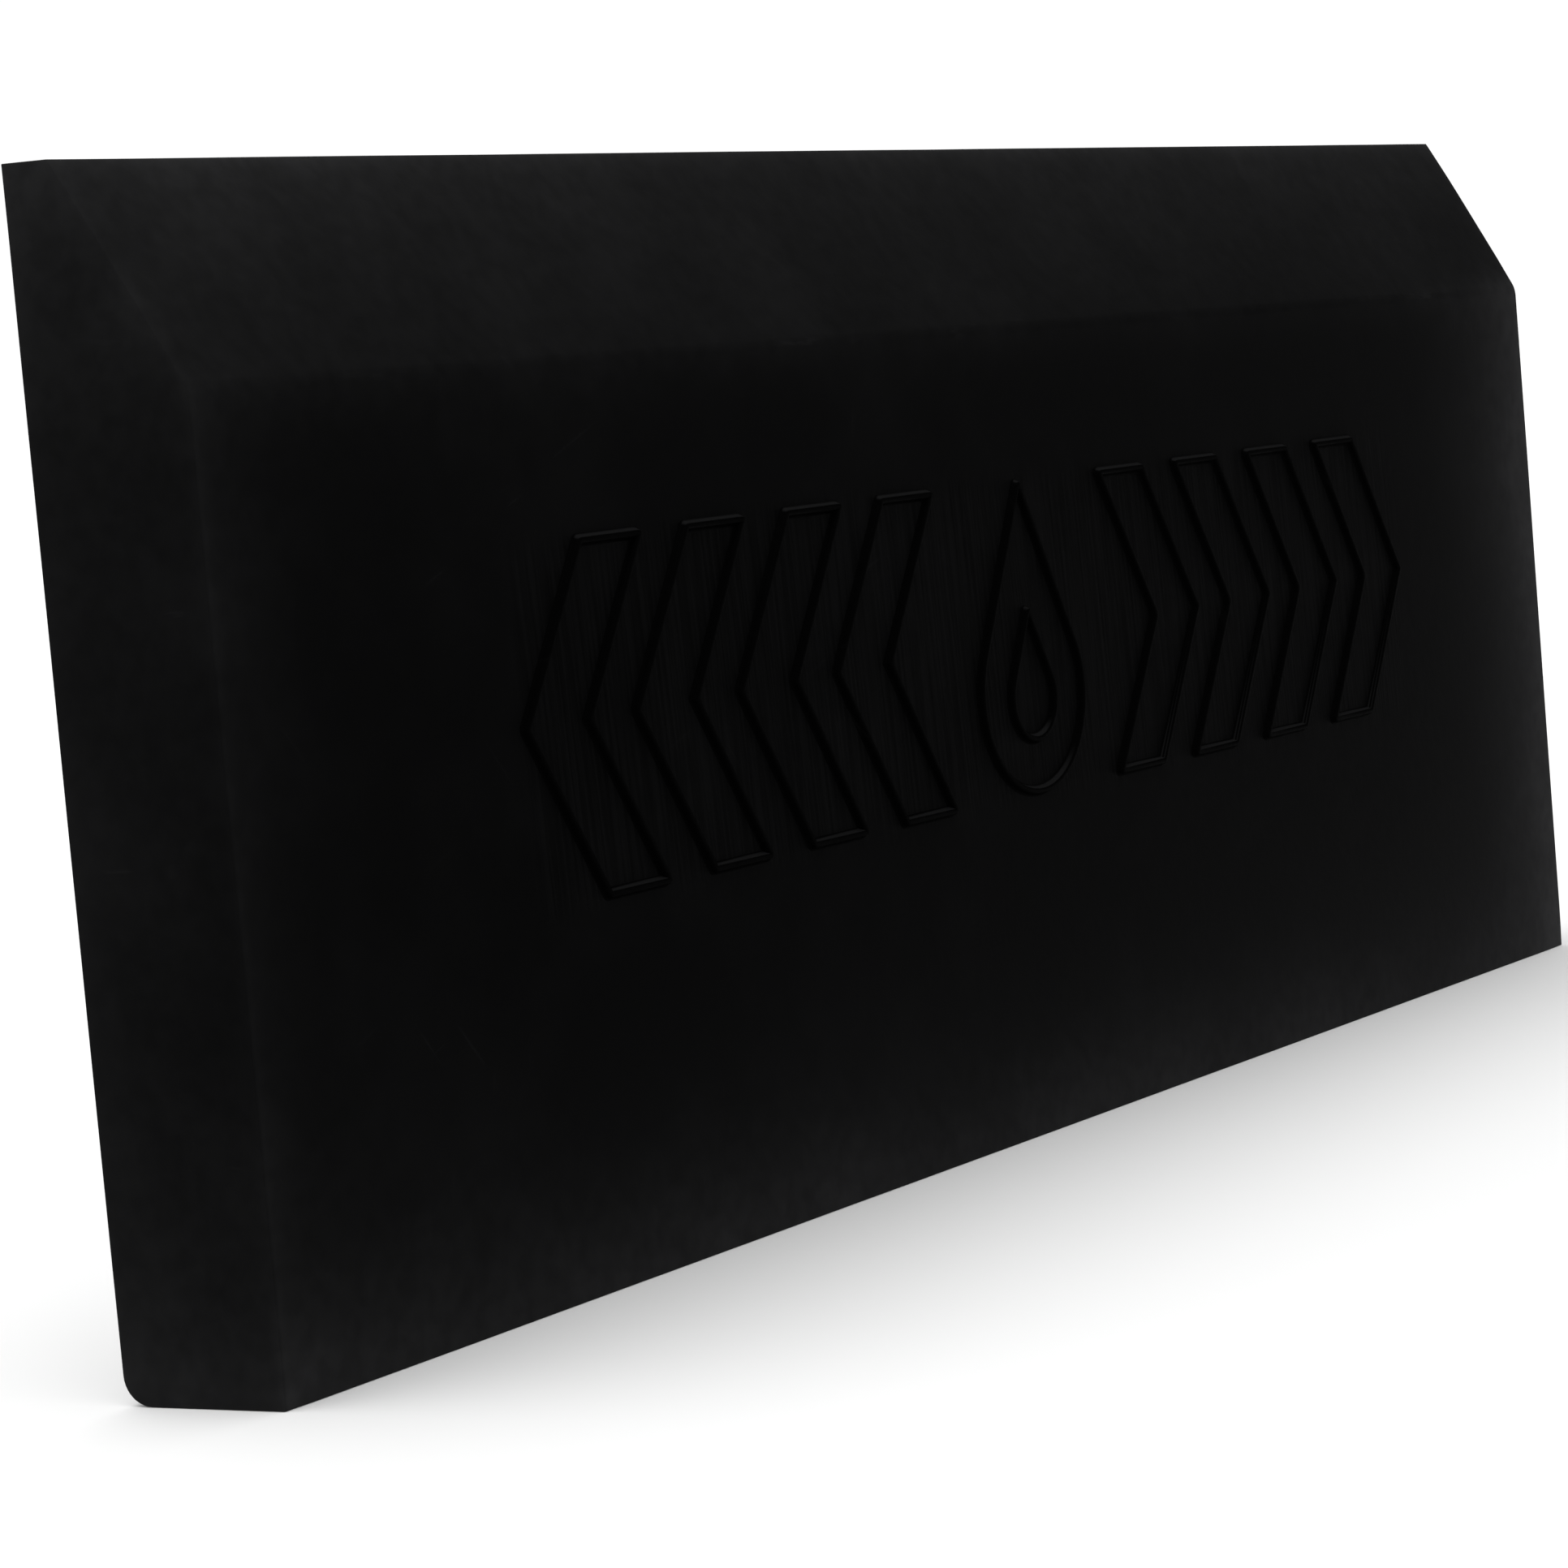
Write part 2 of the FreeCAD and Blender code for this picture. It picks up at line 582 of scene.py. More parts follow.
    def inside_ends(self, graph: Graph, where: Socket, block: "BladeBlock") -> Socket:
        """How far a point lies inside the nearer leaning end.

        Args:
            graph: The node tree's graph.
            where: Object coordinates.
            block: The block whose ends are meant.

        Returns:
            The distance in metres, 0 on the end itself.
        """
        place = graph.node("ShaderNodeSeparateXYZ", {"Vector": where}).outputs
        from_end = graph.math("SUBTRACT", block.half_length, graph.math("ABSOLUTE", place["X"]))
        lean = graph.math("MULTIPLY", graph.math("SUBTRACT", block.back, place["Y"]), block.lean)
        return graph.math("MAXIMUM", graph.math("SUBTRACT", from_end, lean), 0.0)

    def stripes(self, graph: Graph, where: Socket, block: "BladeBlock") -> Socket:
        """Fine upright stripes that the mould's cutter left around the raised mark, from -1 to 1.

        Args:
            graph: The node tree's graph.
            where: Object coordinates.
            block: The block that carries the mark.

        Returns:
            The stripes, 0 away from the mark.
        """
        lines = graph.ramp(self.cutter_streaks.noise(graph, where), 0.25, 0.75, -1.0, 1.0)
        place = graph.node("ShaderNodeSeparateXYZ", {"Vector": where}).outputs
        middle = (block.mark_low + block.mark_high) / 2
        half = (block.mark_high - block.mark_low) / 2
        end = block.mark_half_width
        upright = graph.math("ABSOLUTE", graph.math("SUBTRACT", place["Z"], middle))
        upright = graph.ramp(upright, half - MM, half + MM, 1.0, 0.0)
        along = graph.ramp(graph.math("ABSOLUTE", place["X"]), end - 2 * MM, end + MM, 1.0, 0.0)
        near = graph.math("MULTIPLY", upright, along)
        near = graph.math("MULTIPLY", near, self.near_depth(graph, where, block.front))
        return graph.math("MULTIPLY", lines, near)

    def painted_sheens(self, graph: Graph, where: Socket, block: "BladeBlock") -> Socket:
        """The painted sheen along the thick edge, the nose, the ends, the bevel and both faces, added up.

        Args:
            graph: The node tree's graph.
            where: Object coordinates.
            block: The block whose edges the bloom follows.

        Returns:
            How much lighter the skin is.
        """
        place = graph.node("ShaderNodeSeparateXYZ", {"Vector": where}).outputs
        from_nose = graph.math("SUBTRACT", block.top, place["Z"])
        from_end = graph.math("SUBTRACT", block.half_length, graph.math("ABSOLUTE", place["X"]))
        inside = self.inside_ends(graph, where, block)
        hem = PaintedSheen(self.rim.strength, self.rim.reach / 4)
        rim = graph.math("SUBTRACT", self.rim.amount(graph, inside), hem.amount(graph, inside))
        # The nose's painted sheen fades from the left end towards the middle.
        most, least = 1.0 + self.nose_fade / 2, 1.0 - self.nose_fade / 2
        kept = graph.ramp(place["X"], -block.half_length, 0.0, most, least)
        inwards = -block.bevel_normal
        depth = graph.math("MULTIPLY_ADD", place["Z"], inwards.z, -inwards.dot(block.crease))
        depth = graph.math("MULTIPLY_ADD", place["Y"], inwards.y, depth)
        # Painted sheen and painted highlight lines along every edge.
        everywhere = graph.total(
            self.heel.amount(graph, place["Z"]),
            graph.math("MULTIPLY", self.nose.amount(graph, from_nose), kept),
            rim,
            self.ends.amount(graph, from_end),
            self.bevel.amount(graph, graph.math("MAXIMUM", depth, 0.0)),
            self.lip.amount(graph, self.from_line(graph, where, block.nose_front, block.top)),
        )
        # Painted sheen on the front and back faces, by their foot and their ends.
        faces = graph.total(
            self.face_foot.amount(graph, place["Z"]),
            self.face_left.amount(graph, graph.math("ADD", block.front_half, place["X"])),
            self.face_right.amount(graph, graph.math("SUBTRACT", block.front_half, place["X"])),
        )
        on_face = self.near_depth(graph, where, block.front)
        on_face = graph.math("ADD", on_face, self.near_depth(graph, where, block.back))
        on_face = graph.math("MULTIPLY", on_face, graph.ramp(inside, 0.0, 0.3 * MM, 0.3, 1.0))
        return graph.math("MULTIPLY_ADD", faces, on_face, everywhere)

    def shade(self, graph: Graph, where: Socket, block: "BladeBlock", skin: Patterns) -> Socket:
        """How light the skin is: near black, lighter in blotches, where it is rubbed and where it is
        worn, with painted sheen by its edges and a painted top light.

        Args:
            graph: The node tree's graph.
            where: Object coordinates.
            block: The block whose edges the bloom follows.
            skin: The skin's patterns.

        Returns:
            The grey value of the skin.
        """
        share = self.sheen_share
        uneven = graph.ramp(skin.mottle, 0.25, 0.75, 0.82 * share, 1.18 * share)
        uneven = graph.math("MULTIPLY", uneven, graph.ramp(skin.peel, 0.25, 0.75, 0.85, 1.15))
        # Painted sheen by the edges and faces, made uneven by the mottle and the peel.
        edge_sheen = graph.math("MULTIPLY", self.painted_sheens(graph, where, block), uneven)
        blotch = graph.math("MULTIPLY", graph.ramp(skin.mottle, 0.4, 0.75), self.blotch)
        rubbed = graph.math("MULTIPLY", skin.rubs, self.scuff)
        worn = graph.math("MULTIPLY", skin.wear, self.nick)
        striped = graph.math("MULTIPLY", skin.stripes, self.striping)
        # Painted top light: the skin is painted lighter where it faces up, as if lit from above.
        facing = graph.node("ShaderNodeTexCoord", {}).outputs["Normal"]
        upward = graph.node("ShaderNodeSeparateXYZ", {"Vector": facing}).outputs["Z"]
        painted_top_light = graph.math("MULTIPLY", graph.ramp(upward, 0.55, 0.9), self.top_light)
        light = graph.total(self.deep, edge_sheen, blotch, rubbed, worn, striped, painted_top_light)
        return graph.math("MAXIMUM", light, 0.0)

    def rough(self, graph: Graph, skin: Patterns) -> Socket:
        """Satin, uneven in blotches, duller on rub marks and worn edges.

        Args:
            graph: The node tree's graph.
            skin: The skin's patterns.

        Returns:
            The roughness.
        """
        value = graph.ramp(skin.mottle, 0.25, 0.8, self.roughness - 0.04, self.roughness + 0.06)
        speckle = graph.ramp(skin.peel, 0.3, 0.7, -0.02, 0.02)
        dull = graph.math("MULTIPLY", skin.rubs, 0.06)
        dull = graph.math("ADD", dull, graph.math("MULTIPLY", skin.wear, 0.12))
        return graph.total(value, speckle, dull)

    def height(self, graph: Graph, skin: Patterns) -> Socket:
        """Relief finer than the mesh: orange peel, grain, rub marks, nicks and the cutter's stripes.

        Args:
            graph: The node tree's graph.
            skin: The skin's patterns.

        Returns:
            The height, in units of the bump's distance.
        """
        return graph.total(
            graph.math("MULTIPLY", skin.peel, 0.8),
            graph.math("MULTIPLY", skin.grain, 0.25),
            graph.math("MULTIPLY", skin.rubs, -0.12),
            graph.math("MULTIPLY", skin.wear, -0.8),
            graph.math("MULTIPLY", skin.stripes, self.tool_marks),
        )


# --- Block ---


@dataclass
class BladeBlock:
    """The cast block, with its bevel, leaning ends, rolled face edges and rounded long edges.

    Attributes:
        node: The CAD node it stands for.
        last_mark: The node at the far end of the raised mark.
        nose: Thickness left at the nose.
        bevel: Height of the bevel.
        draft: How far each end leans in from back to front.
        heel_radius: Radius of the bottom edge of the back face.
        crease_radius: Radius where the bevel meets the front face.
        edge_radius: Radius of every other edge.
        end_roll: How far the front face has fallen back at its ends.
        foot_roll: How far it has fallen back at its bottom edge.
        roll_reach: How far in from an edge the front face starts to fall back.
        nose_roll: How far the bevel has sunk at the nose.
        nose_reach: Where that starts.
        net: Width of the mesh's faces away from the edges.
        wave: Depth of the cast skin's slow unevenness.
        wave_length: Its length.
        scores: How far in from an end or the foot the mesh is scored, in millimetres.
        bevel_scores: Where the bevel is scored, as shares of its height below the nose.
        sharp: The angle in degrees from which an edge is rounded.
        smooth: The angle in degrees up to which shading runs over an edge.
    """

    node: str = "blade_body"
    last_mark: str = "chevron_right_4"
    nose: float = 2.3 * MM
    bevel: float = 9.6 * MM
    draft: float = 0.85 * MM
    heel_radius: float = 1.3 * MM
    crease_radius: float = 0.38 * MM
    edge_radius: float = 0.14 * MM
    end_roll: float = 0.07 * MM
    foot_roll: float = 0.05 * MM
    roll_reach: float = 3.0 * MM
    nose_roll: float = 0.08 * MM
    nose_reach: float = 4.0 * MM
    net: float = 1.7 * MM
    wave: float = 0.03 * MM
    wave_length: float = 14 * MM
    scores: tuple[float, ...] = (0.15, 0.35, 0.65, 1.0, 1.4, 1.9, 2.5, 3.2, 4.0, 5.0, 6.2)
    bevel_scores: tuple[float, ...] = (0.02, 0.05, 0.1, 0.17, 0.26, 0.37, 0.5, 0.65, 0.82)
    sharp: float = 28.0
    smooth: float = 40.0

    def __post_init__(self) -> None:
        """Takes the block's place from the frame."""
        low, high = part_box(self.node)
        self.front = low[1]
        self.back = high[1]
        self.top = high[2]
        self.half_length = high[0]
        self.crease_z = self.top - self.bevel
        self.nose_front = self.back - self.nose
        self.front_half = self.half_length - self.draft
        self.lean = self.draft / (self.back - self.front)
        self.crease = Vector((0.0, self.front, self.crease_z))
        self.bevel_normal = Vector((0.0, -self.bevel, self.nose_front - self.front)).normalized()
        mark_low, mark_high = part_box(self.last_mark)
        self.mark_low = mark_low[2]
        self.mark_high = mark_high[2]
        self.mark_half_width = mark_high[0]

    def build(self) -> Mesh:
        """Makes the block.

        Returns:
            The finished object.
        """
        bench = self.rough_block()
        bench.slice_off(self.crease, self.bevel_normal)
        self.round_long_edges(bench)
        self.score(bench)
        self.roll_faces(bench)
        piece = bench.finish()
        self.settle_skin(piece)
        return piece

    def rough_block(self) -> Bench:
        """Makes a box of the block's size whose front face is drawn in at both ends.

        Returns:
            The bench with that box on it.
        """
        clear_selection()
        size = (2 * self.half_length, self.back - self.front, self.top)
        centre = (0.0, (self.front + self.back) / 2, self.top / 2)
        bpy.ops.mesh.primitive_cube_add(size=1.0, location=centre, scale=size)
        bench = Bench.start("blade_block")
        bench.pick(Pick.VERT, lambda points: points[0].y < self.front + NEAR)
        ratio = self.front_half / self.half_length
        bpy.ops.transform.resize(value=(ratio, 1.0, 1.0), center_override=(0.0, 0.0, 0.0))
        return bench

    def round_long_edges(self, bench: Bench) -> None:
        """Rounds the heel, which is the bottom edge of the back face, and the crease.

        Args:
            bench: The bench with the bevelled block on it.
        """
        bench.pick(Pick.EDGE, lambda points: all(p.z < NEAR and p.y > self.back - NEAR for p in points))
        bpy.ops.mesh.bevel(offset=self.heel_radius, segments=10, profile=0.5, affect="EDGES")
        bench.pick(Pick.EDGE, lambda points: all((p - self.crease).yz.length < NEAR for p in points))
        bpy.ops.mesh.bevel(offset=self.crease_radius, segments=6, profile=0.5, affect="EDGES")

    def score(self, bench: Bench) -> None:
        """Scores the block into a net that is finer towards its edges.

        Args:
            bench: The bench with the rounded block on it.
        """
        steps = [step * MM for step in self.scores]
        ends = [self.front_half - step for step in steps]
        bench.cut(Axis.X, ends + [-x for x in ends])
        bench.cut(Axis.X, self.spread(-ends[-1], ends[-1]))
        brow = self.crease_z - self.crease_radius
        bench.cut(Axis.Z, steps + [brow - step for step in steps[1:8]])
        bench.cut(Axis.Z, self.spread(steps[-1], brow - steps[7]))
        slope = self.top - self.crease_z - self.crease_radius
        bench.cut(Axis.Z, [self.top - slope * share for share in self.bevel_scores])
        bench.cut(Axis.Y, self.spread(self.front + self.crease_radius, self.back - self.heel_radius)[::2])

    def spread(self, low: float, high: float) -> list[float]:
        """Evenly spaced places between two others, about `net` apart.

        Args:
            low: The first place, left out of the result.
            high: The last place, left out as well.

        Returns:
            The places between them.
        """
        count = max(round((high - low) / self.net), 2)
        return [low + (high - low) * step / count for step in range(1, count)]

    def roll_faces(self, bench: Bench) -> None:
        """Lets the front face fall back at its ends and foot, and the bevel sink at the nose.

        Args:
            bench: The bench with the scored block on it.
        """
        brow = self.crease_z + NEAR
        for side in (-1, 1):
            end = side * self.front_half
            bench.pull(
                lambda points: all(
                    abs(p.x - end) < NEAR and p.y < self.front + NEAR and p.z < brow for p in points
                ),
                Vector((0.0, self.end_roll, 0.0)),
                self.roll_reach,
            )
        foot = self.front + self.end_roll + NEAR
        bench.pull(
            lambda points: all(p.z < NEAR and p.y < foot for p in points),
            Vector((0.0, self.foot_roll, 0.0)),
            self.roll_reach,
        )
        bench.pull(
            lambda points: all(p.z > self.top - NEAR and p.y < self.nose_front + NEAR for p in points),
            -self.bevel_normal * self.nose_roll,
            self.nose_reach,
        )

    def settle_skin(self, piece: Mesh) -> None:
        """Softens the remaining edges, and gives the flat faces the slow waves of a casting.

        Args:
            piece: The block.
        """
        edges = piece.modifiers.new("edges", "BEVEL")
        edges.width = self.edge_radius
        edges.segments = 3
        edges.limit_method = "ANGLE"
        edges.angle_limit = math.radians(self.sharp)
        edges.use_clamp_overlap = True
        bpy.ops.object.modifier_apply(modifier=edges.name)
        pattern = bpy.data.textures.new("cast_waves", "CLOUDS")
        pattern.noise_scale = self.wave_length
        pattern.noise_depth = 1
        waves = piece.modifiers.new("waves", "DISPLACE")
        waves.texture = pattern
        waves.texture_coords = "LOCAL"
        waves.strength = self.wave
        waves.mid_level = 1.0
        bpy.ops.object.modifier_apply(modifier=waves.name)
        bpy.ops.object.shade_smooth_by_angle(angle=math.radians(self.smooth))


# --- Raised mark ---


@dataclass(frozen=True)
class BeadProfile:
    """The cross-section of a raised bead, from its outer foot to its crown.

    Attributes:
        width: Width between the outer feet.
        corner: Radius of the outer foot at a corner.
        sunk: How deep the feet are buried in the face.
        steps: How far each ring lies inside the last one and how far above it, in millimetres.
        smooth: The angle in degrees up to which shading runs over an edge.
    """

    width: float = 0.64 * MM
    corner: float = 0.44 * MM
    sunk: float = 0.03 * MM
    steps: tuple[tuple[float, float], ...] = (
        (0.04, 0.035),
        (0.04, 0.025),
        (0.03, 0.050),
        (0.03, 0.085),
        (0.03, 0.075),
        (0.03, 0.045),
        (0.03, 0.022),
        (0.03, 0.008),
    )
    smooth: float = 50.0

    @property
    def height(self) -> float:
        """How far the crown lies above the feet."""
        return sum(up for _, up in self.steps) * MM

    def raise_ring(self) -> None:
        """Raises the selected flat ring of faces into the bead, one narrower ring at a time."""
        for inward, up in self.steps:
            bpy.ops.mesh.inset(thickness=inward * MM, depth=0.0, use_boundary=True, use_even_offset=True)
            bpy.ops.transform.translate(value=(0.0, -up * MM, 0.0))


@dataclass(frozen=True)
class Corner:
    """One corner of a figure's outer outline.

    Attributes:
        x: Its place along the blade.
        z: Its height.
        angle: The angle between its two sides.
    """

    x: float
    z: float
    angle: float


@dataclass
class OutlineFigure:
    """One raised outline on the front face.

    Attributes:
        node: The CAD node it stands for.
        face: Where the bead's feet lie.
        bead: The bead's cross-section.
    """

    node: str
    face: float
    bead: BeadProfile

    def flat(self) -> Bench:
        """The flat figure as one face, to the outer feet of its bead."""
        raise NotImplementedError

    def corners(self) -> list[Corner]:
        """The corners of the flat figure."""
        raise NotImplementedError

    def build(self) -> Mesh:
        """Makes the figure.

        Returns:
            The finished object.
        """
        clear_selection()
        bench = self.flat()
        bench.pick(Pick.FACE, lambda points: True)
        bpy.ops.mesh.inset(thickness=self.bead.width, depth=0.0, use_even_offset=True)
        bpy.ops.mesh.delete(type="FACE")
        self.round_corners(bench)
        bench.pick(Pick.FACE, lambda points: True)
        self.bead.raise_ring()
        bpy.ops.mesh.delete(type="FACE")
        self.close(bench, self.face)
        self.close(bench, self.face - self.bead.height)
        piece = bench.finish()
        bpy.ops.object.shade_smooth_by_angle(angle=math.radians(self.bead.smooth))
        return piece

    def round_corners(self, bench: Bench) -> None:
        """Keeps only the ring's two outlines, rounds the corners of the outer one, and fills between.

        Args:
            bench: The bench with the flat ring on it.
        """
        bench.pick(Pick.FACE, lambda points: True)
        bpy.ops.mesh.region_to_loop()
        bpy.ops.mesh.select_all(action="INVERT")
        bpy.ops.mesh.delete(type="EDGE")
        for corner in self.corners():
            place = Vector((corner.x, self.face, corner.z))
            bench.pick(Pick.VERT, lambda points: (points[0] - place).length < NEAR)
            reach = self.bead.corner / math.tan(corner.angle / 2)
            bpy.ops.mesh.bevel(offset=reach, segments=6, profile=0.5, affect="VERTICES")
        bpy.ops.mesh.select_all(action="SELECT")
        bpy.ops.mesh.fill(use_beauty=True)

    def close(self, bench: Bench, depth: float) -> None:
        """Fills between the bead's two outlines at a given depth.

        Args:
            bench: The bench with the open bead on it.
            depth: Where the two outlines lie.
        """
        bench.pick(Pick.EDGE, lambda points: all(abs(p.y - depth) < TOUCHING for p in points))
        bpy.ops.mesh.fill(use_beauty=True)


@dataclass
class Chevron(OutlineFigure):
    """A chevron that points away from the middle of the blade.

    Attributes:
        side: -1 on the left half, 1 on the right half.
        reach: How far its point leads its tails.
    """

    side: int = 1
    reach: float = 5.2 * MM

    def __post_init__(self) -> None:
        """Takes the chevron's place from the frame."""
        low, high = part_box(self.node)
        self.tail = low[0] if self.side > 0 else high[0]
        self.low_z = low[2]
        self.high_z = high[2]
        self.middle = (low[2] + high[2]) / 2
        self.stroke = high[0] - low[0] - self.reach

    def flat(self) -> Bench:
        """Makes a plate as wide as one arm, scored across its middle and pushed into a V.

        Returns:
            The bench with the flat chevron on it.
        """
        centre = (self.tail + self.side * self.stroke / 2, self.face, self.middle)
        bpy.ops.mesh.primitive_plane_add(size=1.0, location=centre, rotation=(math.pi / 2, 0.0, 0.0))
        bpy.context.active_object.scale = (self.stroke, self.high_z - self.low_z, 1.0)
        bench = Bench.start(self.node + "_bead")
        bench.cut(Axis.Z, [self.middle])
        push = Vector((self.side * self.reach, 0.0, 0.0))
        bench.shift(lambda p: abs(p.z - self.middle) < NEAR, push)
        bench.pick(Pick.EDGE, lambda points: all(abs(p.z - self.middle) < NEAR for p in points))
        bpy.ops.mesh.dissolve_edges(use_verts=False)
        return bench

    def corners(self) -> list[Corner]:
        """Finds the four corners of the tails, the point and the notch.

        Returns:
            All six corners.
        """
        lean = math.atan2(self.reach, self.middle - self.low_z)
        sharp = math.pi / 2 - lean
        inner = self.tail
        outer = self.tail + self.side * self.stroke
        found = [Corner(inner, z, sharp) for z in (self.low_z, self.high_z)]
        found += [Corner(outer, z, math.pi - sharp) for z in (self.low_z, self.high_z)]
        push = self.side * self.reach
        return found + [Corner(x + push, self.middle, 2 * sharp) for x in (inner, outer)]


@dataclass
class Drop(OutlineFigure):
    """A drop: a round belly whose sides run straight up to a point.

    Attributes:
        facets: How many corners its belly's circle has.
    """

    facets: int = 72

    def __post_init__(self) -> None:
        """Takes the drop's place from the frame."""
        low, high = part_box(self.node)
        self.radius = (high[0] - low[0]) / 2
        self.centre_z = low[2] + self.radius
        self.tip_z = high[2]
        self.turn = math.acos(self.radius / (self.tip_z - self.centre_z))

    def flat(self) -> Bench:
        """Makes a disc whose top, above where the straight sides touch it, is drawn into the point.

        Returns:
            The bench with the flat drop on it.
        """
        bpy.ops.mesh.primitive_circle_add(
            vertices=self.facets,
            radius=self.radius,
            fill_type="NGON",
            location=(0.0, self.face, self.centre_z),
            rotation=(math.pi / 2, 0.0, 0.0),
        )
        bench = Bench.start(self.node + "_bead")
        touch_z = self.centre_z + self.radius * math.cos(self.turn)
        bench.pick(Pick.VERT, lambda points: points[0].z > touch_z)
        bpy.ops.mesh.merge(type="CENTER")
        data = bmesh.from_edit_mesh(bench.piece.data)
        top = max(vert.co.z for vert in data.verts)
        bench.shift(lambda p: p.z > top - NEAR, Vector((0.0, 0.0, self.tip_z - top)))
        return bench

    def corners(self) -> list[Corner]:
        """The point."""
        return [Corner(0.0, self.tip_z, math.pi - 2 * self.turn)]


@dataclass
class RaisedMark:
    """The row of outlines on the front face: a drop within a drop, and chevrons either side.

    Attributes:
        per_side: How many chevrons stand on each side.
        bead: The bead they are all drawn with.
    """

    per_side: int = 4
    bead: BeadProfile = BeadProfile()

    def build(self, face: float) -> dict[str, Mesh]:
        """Makes every figure: both drops, one chevron of each side, and its copies further out.

        Args:
            face: Where the front face lies.

        Returns:
            The finished objects, each under its CAD node's name.
        """
        feet = face + self.bead.sunk
        made = {node: Drop(node, feet, self.bead).build() for node in ("drop_outer", "drop_inner")}
        for name, side in (("left", -1), ("right", 1)):
            nodes = [f"chevron_{name}_{index + 1}" for index in range(self.per_side)]
            first = Chevron(nodes[0], feet, self.bead, side=side).build()
            made[nodes[0]] = first
            for node in nodes[1:]:
                made[node] = copy_over(first, nodes[0], node)
        return made


# --- Studio ---


@dataclass(frozen=True)
class CameraPlace:
    """Where the camera stands and how it is held.

    Attributes:
        position: Its place.
        aim: The direction it looks in.
        up: The direction that is up in its picture.
        lens: Focal length in millimetres.
        sensor: Width of the sensor in millimetres.
        near: Where its view begins.
        far: Where it ends.
    """

    position: Triple = (-0.1997, -0.1229, 0.0395)
    aim: Triple = (0.8257, 0.5572, -0.0881)
    up: Triple = (0.1209, -0.0224, 0.9924)
    lens: float = 104.5
    sensor: float = 36.0
    near: float = 0.01
    far: float = 50.0

    def set_up(self) -> None:
        """Makes the camera and gives it to the scene."""
        data = bpy.data.cameras.new("camera")
        data.sensor_width = self.sensor
        data.lens = self.lens
        data.clip_start = self.near
        data.clip_end = self.far
        camera = bpy.data.objects.new("camera", data)
        bpy.context.scene.collection.objects.link(camera)
        back = -Vector(self.aim).normalized()
        right = Vector(self.up).cross(back).normalized()
        up = back.cross(right)
        turn = Matrix((right, up, back)).transposed().to_4x4()
        camera.matrix_world = Matrix.Translation(self.position) @ turn
        bpy.context.scene.camera = camera


@dataclass(frozen=True)
class SkyLight:
    """A wide soft light from far overhead, which lights the whole floor evenly.

    Attributes:
        heading: The direction that its light travels in.
        strength: Its strength.
        spread: How wide it looks from the floor, in degrees.
    """

    heading: Triple = (0.10, -0.12, -1.0)
    strength: float = 2.2
    spread: float = 60.0

    def hang(self) -> None:
        """Makes the light."""
        data = bpy.data.lights.new("sky_light", "SUN")
        data.energy = self.strength
        data.angle = math.radians(self.spread)
        light = bpy.data.objects.new("sky_light", data)
        bpy.context.scene.collection.objects.link(light)
        light.rotation_euler = Vector(self.heading).to_track_quat("-Z", "Y").to_euler()


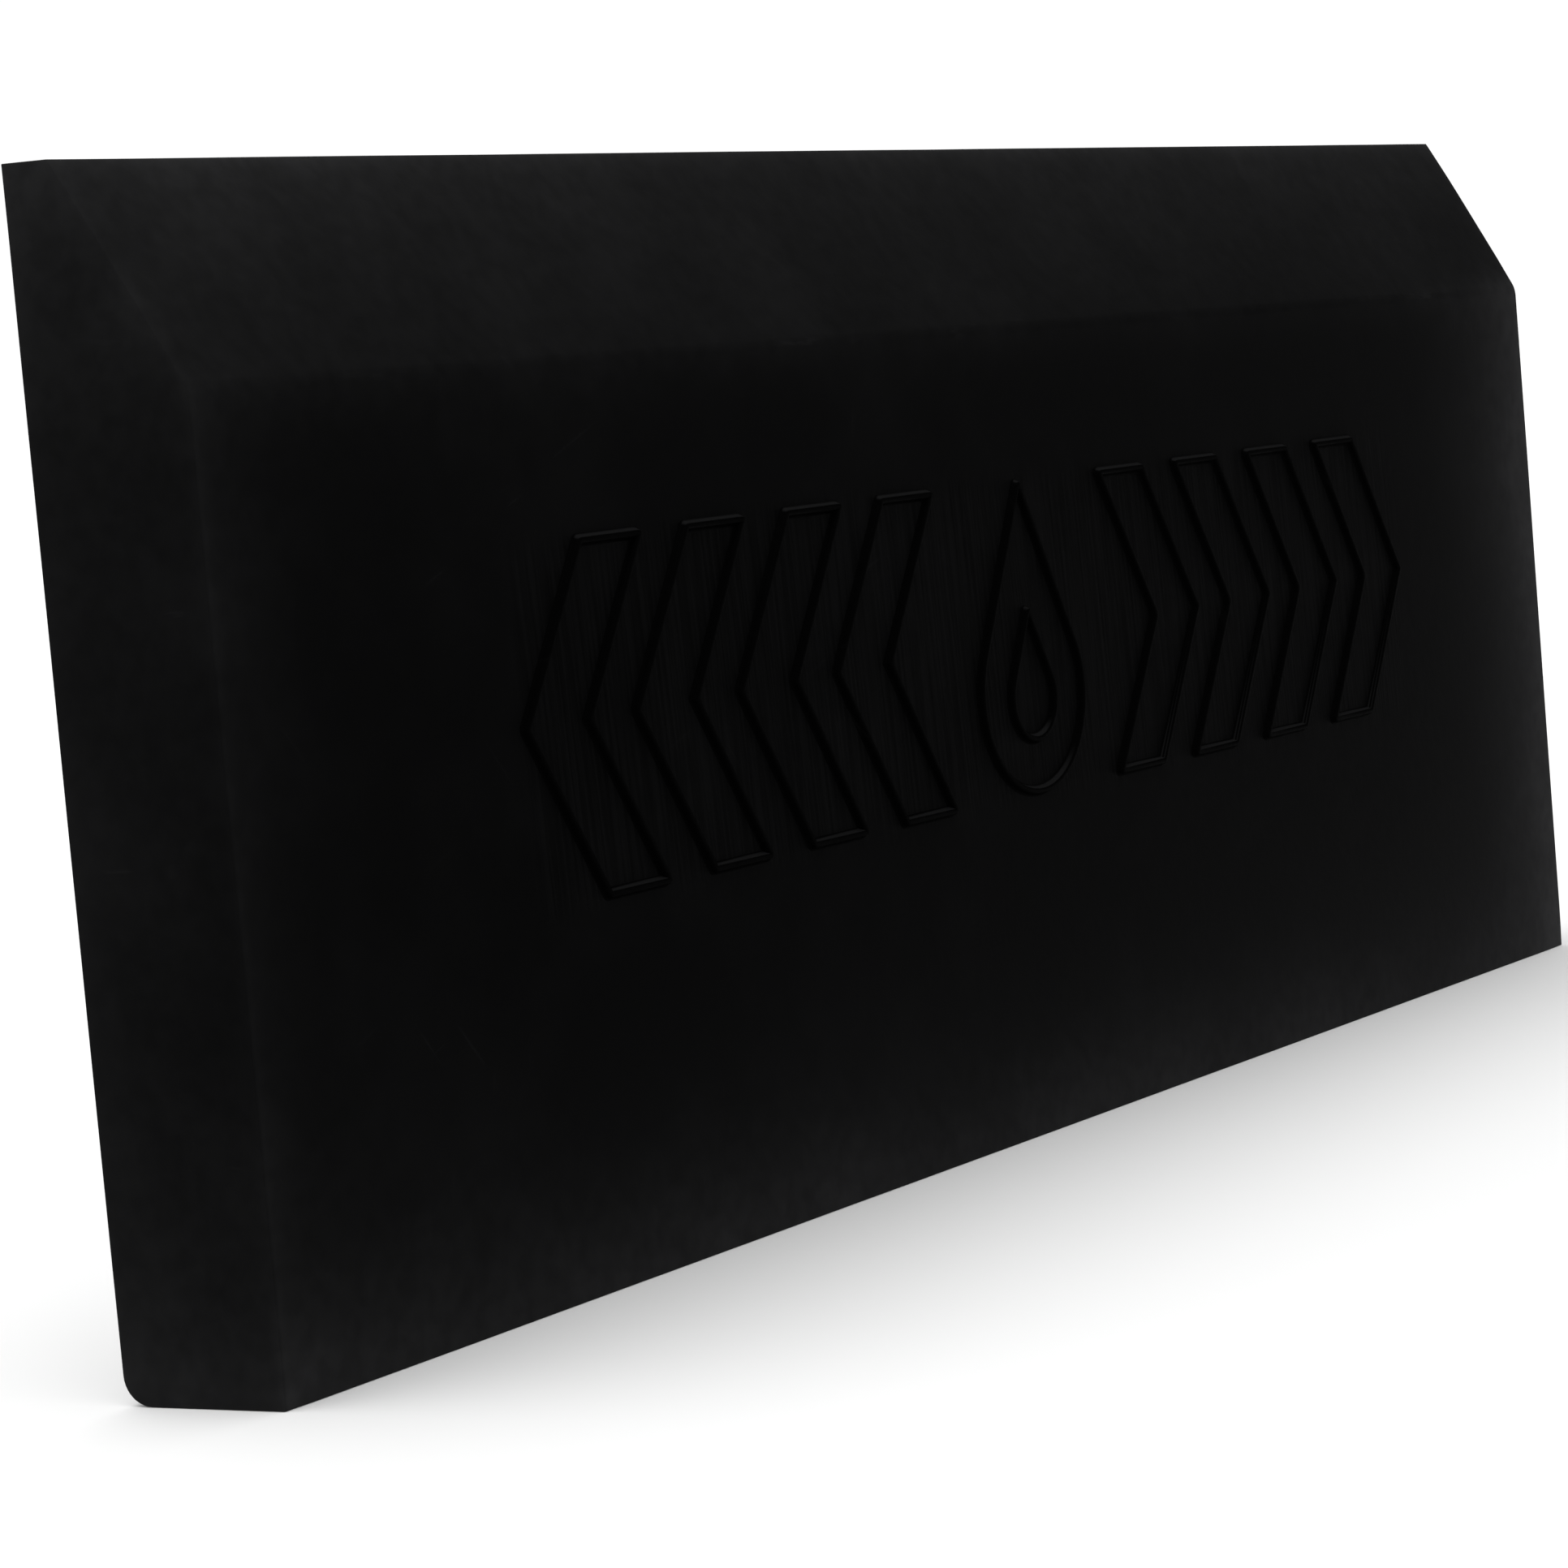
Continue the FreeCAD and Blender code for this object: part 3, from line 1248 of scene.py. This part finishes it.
@dataclass(frozen=True)
class Room:
    """A pale backdrop, and a room with one dim stretch of wall, which the front face mirrors.

    Attributes:
        pale: Brightness of the walls and ceiling.
        dim: Brightness of the dim stretch.
        heading: The direction of the dim stretch.
        inner: How far from its middle it is fully dim, in degrees.
        outer: Where it has faded into the pale walls, in degrees.
    """

    pale: float = 1.05
    dim: float = 0.03
    heading: Triple = (0.88, -0.47, -0.05)
    inner: float = 18.0
    outer: float = 50.0

    def light(self) -> None:
        """Makes the world."""
        room = bpy.data.worlds.new("room")
        room.use_nodes = True
        graph = Graph(room.node_tree)
        sky = room.node_tree.nodes["Background"]
        heading = graph.node("ShaderNodeTexCoord", {}).outputs["Generated"]
        inputs = {0: heading, 1: Vector(self.heading).normalized()}
        nearness = graph.node("ShaderNodeVectorMath", inputs, operation="DOT_PRODUCT").outputs["Value"]
        outer, inner = (math.cos(math.radians(angle)) for angle in (self.outer, self.inner))
        bright = graph.ramp(nearness, outer, inner, self.pale, self.dim)
        seen = graph.node("ShaderNodeLightPath", {}).outputs["Is Camera Ray"]
        bright = graph.math("MAXIMUM", bright, graph.math("MULTIPLY", seen, self.pale))
        sky.inputs["Color"].default_value = (1.0, 1.0, 1.0, 1.0)
        room.node_tree.links.new(bright, sky.inputs["Strength"])
        bpy.context.scene.world = room


@dataclass
class Studio:
    """A pale floor, soft light and the camera.

    Attributes:
        floor_colour: Brightness of the floor.
        floor_size: Its width.
        floor_roughness: Its roughness.
        floor_gloss: Its specular level.
        room: The walls and ceiling.
        sky: The overhead light.
        camera: The camera.
    """

    floor_colour: float = 0.68
    floor_size: float = 12.0
    floor_roughness: float = 0.9
    floor_gloss: float = 0.1
    room: Room = Room()
    sky: SkyLight = SkyLight()
    camera: CameraPlace = CameraPlace()

    def set_up(self) -> None:
        """Builds the whole studio."""
        self.lay_floor()
        self.room.light()
        self.sky.hang()
        self.camera.set_up()
        bpy.context.scene.view_settings.view_transform = "Standard"

    def lay_floor(self) -> None:
        """A plain pale floor under the blade."""
        clear_selection()
        bpy.ops.mesh.primitive_plane_add(size=self.floor_size, location=(0.0, 0.0, 0.0))
        floor = bpy.context.active_object
        floor.name = "floor"
        paint = bpy.data.materials.new("floor_paint")
        paint.use_nodes = True
        shader = paint.node_tree.nodes["Principled BSDF"]
        grey = self.floor_colour
        shader.inputs["Base Color"].default_value = (grey, grey, grey, 1.0)
        shader.inputs["Roughness"].default_value = self.floor_roughness
        shader.inputs["Specular IOR Level"].default_value = self.floor_gloss
        floor.data.materials.append(paint)


# --- Making ---


def main() -> None:
    """Builds the studio, the block and the raised mark, and reports each piece."""
    logging.basicConfig(level=logging.INFO, format="%(name)s: %(message)s")
    Studio().set_up()
    block = BladeBlock()
    block_skin = UrethaneFinish("urethane_skin").material(block)
    # The raised mark's skin is the same urethane painted darker, as painted shade on the beads' flanks,
    # with a painted top light where they face up and less painted sheen.
    shaded_mark_skin = UrethaneFinish(
        "urethane_mark", deep=0.0004, blotch=0.0, sheen_share=0.3, striping=0.0, top_light=0.007
    ).material(block)
    hand_over(block.build(), block.node, block_skin)
    for node, figure in RaisedMark().build(block.front).items():
        hand_over(figure, node, shaded_mark_skin)


if __name__ == "__main__":
    main()
